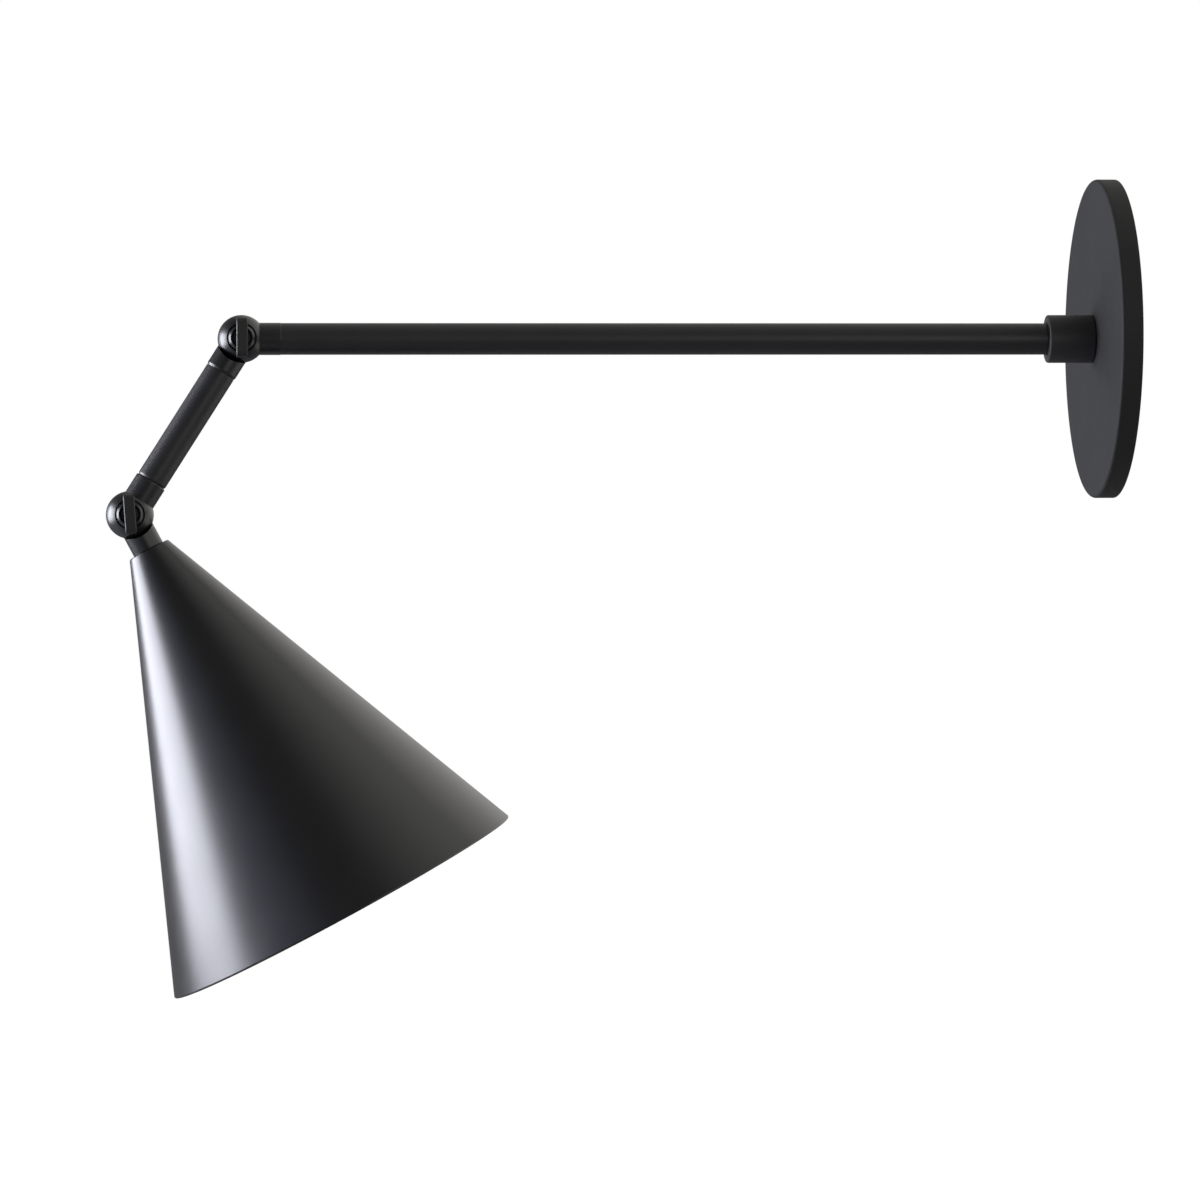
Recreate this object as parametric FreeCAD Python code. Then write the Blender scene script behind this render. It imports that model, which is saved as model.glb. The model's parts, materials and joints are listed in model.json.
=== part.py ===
"""Articulating wall lamp: a round canopy, a fixed arm, two friction knuckles with thumb keys, a cone shade.

Millimetres. +Z is up, +Y points into the wall and the wall plane is y = 0, so the arm runs out along -Y.
Both knuckles hinge about X, and their thumb keys face +X. The origin is the centre of the canopy on the wall.
"""
import FreeCAD, Part
import math
import os

from FreeCAD import Vector

# ---------------------------------------------------------------- driving dimensions
# fits
thread_clearance = 0.05       # radial, a threaded piece in its tapped hole
slip_clearance = 0.1          # radial, a piece that slides over or into another
shell_clearance = 0.2         # radial, the bulb's cap in the lampholder's screw shell
joint_clearance = 0.3         # between the curved faces of two halves of a knuckle
face_clearance = 0.05         # between flat faces that turn on each other

# threaded lamp pipe (the hollow nipples that join the tubes)
pipe_diameter = 10.0
pipe_bore = 7.0
pipe_grip = 10.0              # length of thread in a tube
pipe_chamfer = 0.5

# canopy and its mounting bar
canopy_diameter = 129.0
canopy_depth = 8.5
canopy_wall = 1.6
canopy_edge_radius = 1.2
bar_length = 100.0
bar_width = 19.0
bar_thickness = 2.0
slot_spacing = 79.4           # centre to centre, reaches both 69.9 and 88.9 mm box screws
slot_length = 14.4
slot_width = 4.8
bar_washer_diameter = 16.0
bar_washer_thickness = 0.8
bar_washer_teeth = 12
bar_washer_notch_radius = 0.87
pipe_nut_across_flats = 13.0
bar_nut_thickness = 3.0
ground_screw_offset = 20.0
ground_screw_diameter = 4.6
ground_head_across_flats = 7.5
ground_head_height = 2.6
ground_flange_diameter = 9.6
ground_flange_thickness = 0.8
ground_screw_length = 1.9     # below the flange
ground_slot_width = 1.2
ground_slot_depth = 1.1

# collar and arm
collar_diameter = 19.4
collar_length = 19.0
collar_floor = 3.0
collar_edge_radius = 0.8
arm_tube_diameter = 12.7
elbow_reach = 353.0           # wall to the elbow's axis

# link between the knuckles
link_tube_diameter = 12.4
link_length = 83.3            # axis to axis
elbow_bend = 57.5             # degrees from straight, downwards
head_bend = 60.6              # degrees from straight, back towards the wall
tube_end_radius = 0.35

# knuckle
ball_diameter = 19.1
neck_diameter = 12.9
neck_reach = 15.75            # from the axis to the neck's end
neck_edge_radius = 0.25
neck_tap_inset = 0.15         # from the other half's sweep to the start of the neck's tapping
half_gap = 0.3                # between the flat faces of the two halves
ball_edge_break = 0.25        # on the flat edge of a half ball and round its recess
pivot_boss_diameter = 7.2
wire_space_diameter = 14.0
wire_space_depth = 4.2        # from the middle plane
wire_hole_diameter = 7.0
key_recess_diameter = 11.5
key_recess_floor = 5.4        # from the middle plane
nut_pocket_floor = 5.4
wave_washer_diameter = 9.2
wave_washer_thickness = 0.5
wave_height = 0.3
wave_count = 3
wave_width_share = 0.3        # of the washer's diameter, width of one trough
friction_disc_inset = 0.1     # radial, inside the boss

# thumb key and its captive nut
key_disc_diameter = 10.8
key_disc_edge = 1.3
key_dish_depth = 0.45
key_bar_length = 15.8
key_bar_width = 4.4
key_bar_chamfer = 0.68
key_bar_face = 12.8           # from the middle plane to the front of the bar
key_bar_corner = 2.4
key_shank_diameter = 4.0
key_shank_end = 8.0           # behind the middle plane
key_shank_chamfer = 0.4
key_nut_across_flats = 7.0
key_nut_thickness = 3.0
key_nut_pocket_diameter = 8.7
head_key_turn = 4.0           # degrees that the lower key is left off vertical

# shade
shade_top_diameter = 17.2
shade_rim_diameter = 152.0
shade_height = 162.4
shade_wall = 1.0
shade_top_edge_radius = 1.3
shade_washer_diameter = 14.6
shade_washer_thickness = 1.0
shade_nut_thickness = 3.4

# lampholder
holder_start = 9.5            # below the shade's top
holder_hub_diameter = 16.0
holder_hub_length = 4.5
holder_diameter = 32.4
holder_cap_shoulder = 22.5    # below the shade's top
holder_cap_end = 31.0         # below the shade's top
holder_mouth = 58.0           # below the shade's top
holder_wall = 2.4
holder_lip_width = 1.2
holder_lip_depth = 2.6
holder_lip_radius = 0.8
screw_shell_wall = 0.4
screw_shell_inset = 2.0       # below the mouth of the holder
screw_shell_foot = 3.0        # width of the shell's turned-in end
holder_floor = 2.4
contact_width = 5.0
contact_reach = 8.7           # from the middle to the riveted end
contact_bend = 3.5            # from the middle to where the tongue starts to rise
contact_tip = 3.0             # past the middle
contact_thickness = 0.6

# bulb
bulb_diameter = 60.0
bulb_length = 106.0           # from the cap's tip to the crown
bulb_cap_diameter = 26.2
bulb_cap_length = 23.0
bulb_cap_stand = 0.5          # of the cap that stands out of the lampholder
bulb_tip_length = 3.2
bulb_tip_diameter = 17.0
bulb_contact_diameter = 9.0
bulb_contact_height = 0.9
bulb_contact_chamfer = 0.5
bulb_cap_taper = 3.0          # length of the cap's tapered start
bulb_throat_step = 0.3        # radial, of the glass over the cap
bulb_glass_wall = 0.8

# supply leads
lead_diameter = 2.1
lead_side_offset = 2.1        # from the hinge plane, inside the half that carries the lead
lead_spread = 1.25            # each side of the tube's middle
lead_end = 5.0                # from a knuckle's axis
lead_in_holder = 1.5          # past the shade pipe's end

# ---------------------------------------------------------------- derived sizes
ball_radius = ball_diameter / 2
neck_radius = neck_diameter / 2
pipe_radius = pipe_diameter / 2
tapped_radius = pipe_radius + thread_clearance
shank_radius = key_shank_diameter / 2
sweep_radius = ball_radius + joint_clearance   # clears the other half's ball
neck_tap_start = sweep_radius + neck_tap_inset
canopy_face = -canopy_depth
arm_tube_start = canopy_face - collar_floor
arm_tube_end = -(elbow_reach - neck_reach)
arm_angle = 180.0                              # seen from +X, with +Y to the right
link_angle = arm_angle + elbow_bend
head_angle = link_angle + head_bend

HINGE = Vector(1, 0, 0)


def heading(angle):
    """Unit vector in the hinge plane, seen from +X."""
    return Vector(0, math.cos(math.radians(angle)), math.sin(math.radians(angle)))


elbow_centre = Vector(0, -elbow_reach, 0)
head_centre = elbow_centre + heading(link_angle) * link_length


# ---------------------------------------------------------------- small helpers
def place(shape, base, direction):
    """Moves a shape made along +Z at the origin to start at base and run along direction in the hinge plane.
    Its own +X stays along the hinge axis."""
    turn = FreeCAD.Rotation(HINGE, direction.cross(HINGE), direction)
    moved = shape.copy()
    moved.Placement = FreeCAD.Placement(base, turn).multiply(shape.Placement)
    return moved


def on_hinge(shape, centre, turn=0.0):
    """Moves a shape made along +Z at the origin onto a knuckle: its +Z on the hinge axis, its +X upwards."""
    stand = FreeCAD.Rotation(Vector(0, 0, 1), Vector(0, 1, 0), HINGE)
    twist = FreeCAD.Rotation(HINGE, turn)
    moved = shape.copy()
    moved.Placement = FreeCAD.Placement(centre, twist.multiply(stand)).multiply(shape.Placement)
    return moved


def outline(start, *steps):
    """Closed wire in the XZ plane.
    A step is the next (radius, height), or two such points: an arc's middle and end."""
    def point(p):
        return Vector(p[0], 0, p[1])

    edges = []
    here = point(start)
    for step in list(steps) + [start]:
        if isinstance(step[0], tuple):
            middle, end = point(step[0]), point(step[1])
            edges.append(Part.Arc(here, middle, end).toShape())
        else:
            end = point(step)
            if (end - here).Length < 1e-6:
                continue
            edges.append(Part.LineSegment(here, end).toShape())
        here = end
    return Part.Wire(edges)


def turned(start, *steps):
    """Solid of revolution about Z of an outline of (radius, height) points."""
    face = Part.Face(outline(start, *steps))
    return face.revolve(Vector(0, 0, 0), Vector(0, 0, 1), 360)


def round_corner(centre, radius, turn_from, turn_to):
    """Arc step that rounds a corner: the arc's middle and end, between two angles round its centre."""
    middle = math.radians((turn_from + turn_to) / 2)
    end = math.radians(turn_to)
    return tuple((centre[0] + radius * math.cos(a), centre[1] + radius * math.sin(a)) for a in (middle, end))


def ring(outer, inner, low, high):
    """Plain ring about Z."""
    body = Part.makeCylinder(outer, high - low, Vector(0, 0, low))
    return body.cut(Part.makeCylinder(inner, high - low, Vector(0, 0, low)))


def hexagon(across_flats, low, high):
    """Hexagonal prism about Z with its corners turned off at both ends, as on a machined nut."""
    corner = across_flats / math.sqrt(3)
    points = [Vector(corner * math.cos(math.radians(60 * k)), corner * math.sin(math.radians(60 * k)), low)
              for k in range(7)]
    prism = Part.Face(Part.makePolygon(points)).extrude(Vector(0, 0, high - low))
    flat = across_flats / 2
    bevel = (corner - flat) * math.tan(math.radians(30))
    turned_off = turned(
        (0, low), (flat, low), (corner, low + bevel), (corner, high - bevel), (flat, high), (0, high))
    return prism.common(turned_off)


def nut(across_flats, bore, low, high):
    return hexagon(across_flats, low, high).cut(Part.makeCylinder(bore, high - low, Vector(0, 0, low)))


def tube(outer, inner, length, edge):
    """Cut tube along +Z from the origin with its outer ends broken by a small radius."""
    return turned(
        (inner, 0), (outer - edge, 0), round_corner((outer - edge, edge), edge, -90, 0),
        (outer, length - edge), round_corner((outer - edge, length - edge), edge, 0, 90), (inner, length))


def pipe(length):
    """Hollow threaded nipple along +Z, with its ends chamfered by the depth of the thread."""
    bore = pipe_bore / 2
    end = pipe_radius - pipe_chamfer
    return turned(
        (bore, 0), (end, 0), (pipe_radius, pipe_chamfer), (pipe_radius, length - pipe_chamfer),
        (end, length), (bore, length))


def export(name, shape):
    shape = shape.removeSplitter() if len(shape.Solids) == 1 else shape
    if not shape.isValid() or not shape.Solids or any(s.Volume <= 0 for s in shape.Solids):
        raise RuntimeError(name + " is not a sound solid")
    shape.exportStep(os.path.join("parts", name + ".step"))
    print("%-22s %d solid(s) %10.1f mm3" % (name, len(shape.Solids), shape.Volume))


# ---------------------------------------------------------------- canopy group
INTO_WALL = Vector(0, 1, 0)
OFF_WALL = Vector(0, -1, 0)
WALL = Vector(0, 0, 0)


def canopy():
    """Shallow spun pan. Its open back lies on the wall, and its face has only the hole for the lamp pipe."""
    rim = canopy_diameter / 2
    edge = canopy_edge_radius
    inside = rim - canopy_wall
    floor = canopy_depth - canopy_wall
    hole = pipe_radius + slip_clearance
    pan = turned(
        (inside, 0), (rim, 0), (rim, canopy_depth - edge),
        round_corner((rim - edge, canopy_depth - edge), edge, 0, 90),
        (hole, canopy_depth), (hole, floor), (inside, floor))
    return place(pan, WALL, OFF_WALL)


def mounting_bar():
    """Flat strap with rounded ends that bolts to the wall box, tapped in the middle for the lamp pipe."""
    half = bar_length / 2 - bar_width / 2
    strap = Part.makeBox(2 * half, bar_width, bar_thickness, Vector(-half, -bar_width / 2, 0))
    for side in (-1, 1):
        strap = strap.fuse(Part.makeCylinder(bar_width / 2, bar_thickness, Vector(side * half, 0, 0)))
    strap = strap.removeSplitter()
    slot_end = slot_width / 2
    straight = slot_length - slot_width
    for side in (-1, 1):
        start = side * slot_spacing / 2 - straight / 2
        strap = strap.cut(Part.makeBox(straight, slot_width, bar_thickness, Vector(start, -slot_end, 0)))
        for x in (start, start + straight):
            strap = strap.cut(Part.makeCylinder(slot_end, bar_thickness, Vector(x, 0, 0)))
    strap = strap.cut(Part.makeCylinder(tapped_radius, bar_thickness))
    tapping = Part.makeCylinder(ground_screw_diameter / 2 + thread_clearance, bar_thickness,
                                Vector(ground_screw_offset, 0, 0))
    return place(strap.cut(tapping), WALL, OFF_WALL)


def bar_lock_washer():
    """External-tooth washer under the pipe nut."""
    outer = bar_washer_diameter / 2
    washer = ring(outer, pipe_radius + slip_clearance, bar_thickness, bar_thickness + bar_washer_thickness)
    notch = Part.makeCylinder(bar_washer_notch_radius, bar_washer_thickness, Vector(outer, 0, bar_thickness))
    for k in range(bar_washer_teeth):
        tooth_gap = notch.copy()
        tooth_gap.rotate(Vector(0, 0, 0), Vector(0, 0, 1), 360.0 / bar_washer_teeth * k)
        washer = washer.cut(tooth_gap)
    return place(washer, WALL, OFF_WALL)


def bar_nut():
    """Hexagonal nut that locks the lamp pipe to the mounting bar."""
    low = bar_thickness + bar_washer_thickness
    return place(nut(pipe_nut_across_flats, tapped_radius, low, low + bar_nut_thickness), WALL, OFF_WALL)


def ground_screw():
    """Green earthing screw, hexagon head on a washer flange, in the bar's second tapping."""
    low = bar_thickness
    shank = Part.makeCylinder(ground_screw_diameter / 2, ground_screw_length,
                              Vector(0, 0, low - ground_screw_length))
    flange = Part.makeCylinder(ground_flange_diameter / 2, ground_flange_thickness, Vector(0, 0, low))
    screw = shank.fuse(flange)
    top = low + ground_flange_thickness + ground_head_height
    head = hexagon(ground_head_across_flats, low + ground_flange_thickness, top)
    driver_slot = Part.makeBox(
        ground_flange_diameter, ground_slot_width, ground_slot_depth,
        Vector(-ground_flange_diameter / 2, -ground_slot_width / 2, top - ground_slot_depth))
    screw = screw.fuse(head).cut(driver_slot)
    screw.translate(Vector(ground_screw_offset, 0, 0))
    return place(screw, WALL, OFF_WALL)


def wall_pipe():
    """Lamp pipe from the mounting bar, through the canopy and the collar, into the arm."""
    return place(pipe(-arm_tube_start + pipe_grip), WALL, OFF_WALL)


def collar():
    """Turned collar that clamps the canopy and hides the end of the arm."""
    outer = collar_diameter / 2
    edge = collar_edge_radius
    hole = pipe_radius + slip_clearance
    seat = arm_tube_diameter / 2 + slip_clearance
    sleeve = turned(
        (hole, 0), (outer - edge, 0), round_corner((outer - edge, edge), edge, -90, 0),
        (outer, collar_length - edge), round_corner((outer - edge, collar_length - edge), edge, 0, 90),
        (seat, collar_length), (seat, collar_floor), (hole, collar_floor))
    return place(sleeve, Vector(0, canopy_face, 0), OFF_WALL)


def arm_tube():
    """Straight drawn tube, tapped at both ends."""
    length = arm_tube_start - arm_tube_end
    return place(tube(arm_tube_diameter / 2, tapped_radius, length, tube_end_radius),
                 Vector(0, arm_tube_start, 0), OFF_WALL)


# ---------------------------------------------------------------- knuckles
def neck(clear_side):
    """One neck along +Z, for a hinge along X.
    On clear_side of the middle plane it is cut back, because the other half turns past it there."""
    edge = neck_edge_radius
    body = turned(
        (0, 0), (neck_radius, 0), (neck_radius, neck_reach - edge),
        round_corner((neck_radius - edge, neck_reach - edge), edge, 0, 90), (0, neck_reach))
    beyond = 2 * sweep_radius
    face = clear_side * -half_gap / 2
    block = Part.makeBox(beyond, 2 * beyond, 2 * beyond,
                         Vector(face if clear_side > 0 else face - beyond, -beyond, -beyond))
    return body.cut(Part.makeSphere(sweep_radius).common(block))


def height_on_ball(radius):
    """Distance from the middle plane to the ball's surface at a distance from the hinge axis."""
    return math.sqrt(ball_radius ** 2 - radius ** 2)


def half_ball(outwards):
    """Solid half ball on one side of the middle plane, with its flat edge broken."""
    face = half_gap / 2
    edge_start = (height_on_ball(face) - ball_edge_break, face)
    edge_end = (height_on_ball(face + ball_edge_break), face + ball_edge_break)
    crown = (ball_radius * math.cos(math.pi / 4), ball_radius * math.sin(math.pi / 4))
    half = turned((0, face), edge_start, edge_end, (crown, (0, ball_radius)))
    half.Placement = FreeCAD.Placement(Vector(0, 0, 0), FreeCAD.Rotation(Vector(0, 0, 1), outwards))
    return half


def knuckle_half(side):
    """One half of a friction knuckle with its neck along +Z: a half ball on one side of the middle plane.
    side is +1 for the half that faces +X and holds the key, and -1 for the half that holds the nut."""
    outwards = HINGE * side

    def across(radius, low, high):
        """Cylinder on the hinge axis between two distances from the middle plane, on this half's side."""
        return Part.makeCylinder(radius, high - low, outwards * low, outwards)

    body = half_ball(outwards).fuse(neck(-side)).removeSplitter()
    body = body.cut(across(wire_space_diameter / 2, 0, wire_space_depth).cut(
        across(pivot_boss_diameter / 2, 0, wire_space_depth)))
    if side > 0:
        recess, floor = key_recess_diameter, key_recess_floor
    else:
        recess, floor = key_nut_pocket_diameter, nut_pocket_floor
    mouth = height_on_ball(recess / 2)
    lead_in = Part.makeCone(recess / 2, recess / 2 + 2 * ball_edge_break, 2 * ball_edge_break,
                            outwards * (mouth - ball_edge_break), outwards)
    body = body.cut(across(recess / 2, floor, ball_radius)).cut(lead_in)
    body = body.cut(across(shank_radius + thread_clearance, 0, ball_radius))
    boss = Part.makeCylinder(pivot_boss_diameter / 2, ball_diameter, HINGE * -ball_radius, HINGE)
    passage = Part.makeCylinder(wire_hole_diameter / 2, neck_reach).cut(boss)
    tapping = Part.makeCylinder(tapped_radius, neck_reach - neck_tap_start, Vector(0, 0, neck_tap_start))
    return body.cut(passage).cut(tapping)


def friction_disc(centre):
    """Fibre disc between the two bosses of a knuckle, fixed to the nut half."""
    outer = pivot_boss_diameter / 2 - friction_disc_inset
    disc = ring(outer, shank_radius + slip_clearance, -half_gap / 2, half_gap / 2 - face_clearance)
    return on_hinge(disc, centre)


def wave_washer(centre):
    """Spring washer in the key's recess, pressed into three shallow waves that keep the knuckle stiff."""
    inner = shank_radius + slip_clearance
    low = key_recess_floor
    high = low + wave_washer_thickness + wave_height
    washer = ring(wave_washer_diameter / 2, inner, low, high)
    for k in range(wave_count):
        dip = wave_trough()
        dip.translate(Vector(0, 0, high))
        dip.rotate(Vector(0, 0, 0), Vector(0, 0, 1), 360 / wave_count * k)
        rise = wave_trough().mirror(Vector(0, 0, 0), Vector(0, 0, 1))
        rise.translate(Vector(0, 0, low))
        rise.rotate(Vector(0, 0, 0), Vector(0, 0, 1), 360 / wave_count * (k + 0.5))
        washer = washer.cut(dip).cut(rise)
    return on_hinge(washer, centre)


def wave_trough():
    """Half-round bar along +X, sunk by the wave's height below z = 0."""
    width = wave_washer_diameter * wave_width_share
    radius = (width ** 2 / 4 + wave_height ** 2) / (2 * wave_height)
    return Part.makeCylinder(radius, wave_washer_diameter, Vector(0, 0, radius - wave_height), HINGE)


def thumb_key(centre, turn):
    """Thumb screw: a dished disc in the recess, a flat bar to grip, and a shank that draws the halves in."""
    under = key_recess_floor + wave_washer_thickness + wave_height + face_clearance
    rim = key_disc_diameter / 2
    disc_top = height_on_ball(key_recess_diameter / 2)
    edge = key_disc_edge
    dish = rim - edge
    disc = turned(
        (0, -key_shank_end), (shank_radius - key_shank_chamfer, -key_shank_end),
        (shank_radius, -key_shank_end + key_shank_chamfer),
        (shank_radius, under), (rim, under), (rim, disc_top - edge),
        round_corner((rim - edge, disc_top - edge), edge, 0, 90),
        (dish - key_dish_depth, disc_top - key_dish_depth), (0, disc_top - key_dish_depth))
    half = key_bar_length / 2
    base = disc_top + face_clearance
    corner = key_bar_corner
    side = outline(
        (-half, base), (half, base), (half, key_bar_face - corner),
        round_corner((half - corner, key_bar_face - corner), corner, 0, 90),
        (-half + corner, key_bar_face),
        round_corner((-half + corner, key_bar_face - corner), corner, 90, 180))
    bar = Part.Face(side).extrude(Vector(0, key_bar_width, 0))
    bar.translate(Vector(0, -key_bar_width / 2, 0))
    front_edges = [e for e in bar.Edges
                   if e.BoundBox.YLength < 1e-3 and e.BoundBox.ZMin > base + 1e-3]
    bar = bar.makeChamfer(key_bar_chamfer, front_edges)
    stem_half = dish - key_dish_depth
    stem = Part.makeBox(2 * stem_half, key_bar_width, key_dish_depth + face_clearance,
                        Vector(-stem_half, -key_bar_width / 2, disc_top - key_dish_depth))
    return on_hinge(disc.fuse(stem).fuse(bar), centre, turn)


def key_nut(centre):
    """Captive hexagon nut in the back of the knuckle."""
    piece = nut(key_nut_across_flats, shank_radius + thread_clearance,
                -nut_pocket_floor - key_nut_thickness, -nut_pocket_floor)
    return on_hinge(piece, centre)


def joining_pipe(centre, direction, into_tube):
    """Lamp pipe that joins a knuckle's neck to what it carries."""
    start = neck_tap_start + face_clearance
    return place(pipe(neck_reach - start + into_tube), centre + direction * start, direction)


# ---------------------------------------------------------------- link
def link_tube():
    length = link_length - 2 * neck_reach
    return place(tube(link_tube_diameter / 2, tapped_radius, length, tube_end_radius),
                 elbow_centre + heading(link_angle) * neck_reach, heading(link_angle))


# ---------------------------------------------------------------- shade and lampholder
# Made along +Z from the shade's top, and moved to the head by in_shade.
shade_slope = (shade_rim_diameter - shade_top_diameter) / 2 / shade_height
shade_lean = math.atan(shade_slope)


def shade_outside(depth):
    """Outer radius of the shade at a depth below its top."""
    return shade_top_diameter / 2 + shade_slope * depth


def shade_inside(depth):
    return shade_outside(depth) - shade_wall / math.cos(shade_lean)


def in_shade(shape):
    return place(shape, head_centre + heading(head_angle) * neck_reach, heading(head_angle))


def shade():
    """Spun cone with a small flat top, a soft shoulder and a plain trimmed rim."""
    hole = pipe_radius + slip_clearance
    edge = shade_top_edge_radius
    tangent = edge * math.tan((math.pi / 2 - shade_lean) / 2)
    shoulder_centre = (shade_outside(0) - tangent, edge)
    shoulder = round_corner(shoulder_centre, edge, -90, -math.degrees(shade_lean))
    return in_shade(turned(
        (hole, 0), (shoulder_centre[0], 0), shoulder,
        (shade_outside(shade_height), shade_height), (shade_inside(shade_height), shade_height),
        (shade_inside(shade_wall), shade_wall), (hole, shade_wall)))


def shade_washer():
    return in_shade(ring(shade_washer_diameter / 2, pipe_radius + slip_clearance,
                         shade_wall, shade_wall + shade_washer_thickness))


def shade_nut():
    low = shade_wall + shade_washer_thickness
    return in_shade(nut(pipe_nut_across_flats, tapped_radius, low, low + shade_nut_thickness))


holder_radius = holder_diameter / 2
shell_outside = bulb_cap_diameter / 2 + shell_clearance + screw_shell_wall
holder_bore = shell_outside + slip_clearance
bulb_tip = holder_mouth + bulb_cap_stand - bulb_cap_length - bulb_tip_length - bulb_contact_height
holder_floor_low = bulb_tip - face_clearance - contact_thickness * 2


def holder_cap():
    """Upper cup of the lampholder, tapped for the lamp pipe, with one wall thickness throughout."""
    hub = holder_hub_diameter / 2
    shoulder = holder_start + holder_hub_length
    wall = holder_wall
    slope = math.atan2(holder_cap_shoulder - shoulder, holder_radius - hub)
    lower_mitre = wall * math.tan((math.pi / 2 - slope) / 2)
    upper_mitre = wall * math.tan(slope / 2)
    return in_shade(turned(
        (tapped_radius, holder_start), (hub, holder_start), (hub, shoulder),
        (holder_radius, holder_cap_shoulder), (holder_radius, holder_cap_end),
        (holder_radius - wall, holder_cap_end), (holder_radius - wall, holder_cap_shoulder + lower_mitre),
        (hub - upper_mitre, shoulder + wall), (tapped_radius, shoulder + wall)))


def holder_body():
    """Moulded phenolic lampholder body, open at the bottom, with a floor under the contact."""
    lip = holder_radius + holder_lip_width
    lip_start = holder_mouth - holder_lip_depth
    edge = holder_lip_radius
    spigot = holder_radius - holder_wall - slip_clearance
    underside = holder_floor_low - holder_floor
    return in_shade(turned(
        (0, underside), (spigot, underside), (spigot, holder_cap_end), (holder_radius, holder_cap_end),
        (holder_radius, lip_start), (lip, lip_start),
        (lip, holder_mouth - edge), round_corner((lip - edge, holder_mouth - edge), edge, 0, 90),
        (holder_bore, holder_mouth), (holder_bore, holder_floor_low), (0, holder_floor_low)))


def screw_shell():
    """Thin metal shell that takes the bulb's screw cap."""
    inner = shell_outside - screw_shell_wall
    foot = shell_outside - screw_shell_foot
    mouth = holder_mouth - screw_shell_inset
    floor = holder_floor_low
    return in_shade(turned(
        (inner, mouth), (shell_outside, mouth), (shell_outside, floor), (foot, floor),
        (foot, floor + screw_shell_wall), (inner, floor + screw_shell_wall)))


def holder_contact():
    """Sprung brass tongue at the bottom of the lampholder."""
    thick = contact_thickness
    low = holder_floor_low
    high = low + thick
    mitre = thick * math.tan(math.atan2(thick, contact_bend) / 2)
    tongue = outline(
        (-contact_reach, low), (-contact_bend, low), (0, high), (contact_tip, high),
        (contact_tip, high + thick), (-mitre, high + thick),
        (-contact_bend - mitre, low + thick), (-contact_reach, low + thick))
    strip = Part.Face(tongue).extrude(Vector(0, contact_width, 0))
    strip.translate(Vector(0, -contact_width / 2, 0))
    return in_shade(strip)


bulb_cap_start = bulb_tip + bulb_contact_height + bulb_tip_length
bulb_cap_end = bulb_cap_start + bulb_cap_length
bulb_crown = bulb_tip + bulb_length


def bulb_contact():
    """Centre contact of the bulb, with the dark insulator cone above it."""
    return in_shade(turned(
        (0, bulb_tip), (bulb_contact_diameter / 2 - bulb_contact_chamfer, bulb_tip),
        (bulb_contact_diameter / 2, bulb_tip + bulb_contact_height),
        (bulb_tip_diameter / 2, bulb_cap_start), (0, bulb_cap_start)))


def bulb_cap():
    """Aluminium screw cap of the bulb."""
    outer = bulb_cap_diameter / 2
    return in_shade(turned(
        (0, bulb_cap_start), (bulb_tip_diameter / 2, bulb_cap_start),
        (outer, bulb_cap_start + bulb_cap_taper), (outer, bulb_cap_end), (0, bulb_cap_end)))


def bulb_globe():
    """Frosted envelope: a round crown that narrows in a straight taper to the cap, hollow."""
    def skin(inset):
        ball = bulb_diameter / 2 - inset
        middle = bulb_crown - bulb_diameter / 2
        throat = bulb_cap_diameter / 2 + bulb_throat_step - inset
        start = bulb_cap_end + face_clearance + inset
        # the straight taper leaves the throat and touches the ball
        gap = math.hypot(throat, middle - start)
        swing = math.acos(ball / gap)
        away = math.atan2(start - middle, throat)
        touch_angle = away + swing
        touch = (ball * math.cos(touch_angle), middle + ball * math.sin(touch_angle))
        side_angle = (touch_angle + math.pi / 2) / 2
        side = (ball * math.cos(side_angle), middle + ball * math.sin(side_angle))
        return turned((0, start), (throat, start), touch, (side, (0, middle + ball)))
    return in_shade(skin(0).cut(skin(bulb_glass_wall)))


# ---------------------------------------------------------------- leads
def lead_pair(start, start_side, end, end_side):
    """Two insulated leads between two points on a tube's middle line.
    start_side and end_side are the sides of the hinge plane, +1 or -1, on which they begin and end."""
    along = (end - start).normalize()
    sideways = along.cross(HINGE)
    leads = []
    for spread in (-lead_spread, lead_spread):
        a = start + HINGE * (start_side * lead_side_offset) + sideways * spread
        b = end + HINGE * (end_side * lead_side_offset) + sideways * spread
        leads.append(Part.makeCylinder(lead_diameter / 2, (b - a).Length, a, b - a))
    return leads


def all_leads():
    link = heading(link_angle)
    head = heading(head_angle)
    holder = neck_reach + holder_start + holder_hub_length + lead_in_holder
    runs = {
        "arm": lead_pair(WALL, 1, elbow_centre + INTO_WALL * lead_end, 1),
        "link": lead_pair(elbow_centre + link * lead_end, -1, head_centre - link * lead_end, 1),
        "shade": lead_pair(head_centre + head * lead_end, -1, head_centre + head * holder, -1)}
    leads = {}
    for run, (black, white) in runs.items():
        leads[run + "_lead_black"] = black
        leads[run + "_lead_white"] = white
    return leads


# ---------------------------------------------------------------- build
os.makedirs("parts", exist_ok=True)
link_out = heading(link_angle)
head_out = heading(head_angle)
key_side_half = knuckle_half(1)
nut_side_half = knuckle_half(-1)

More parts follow.
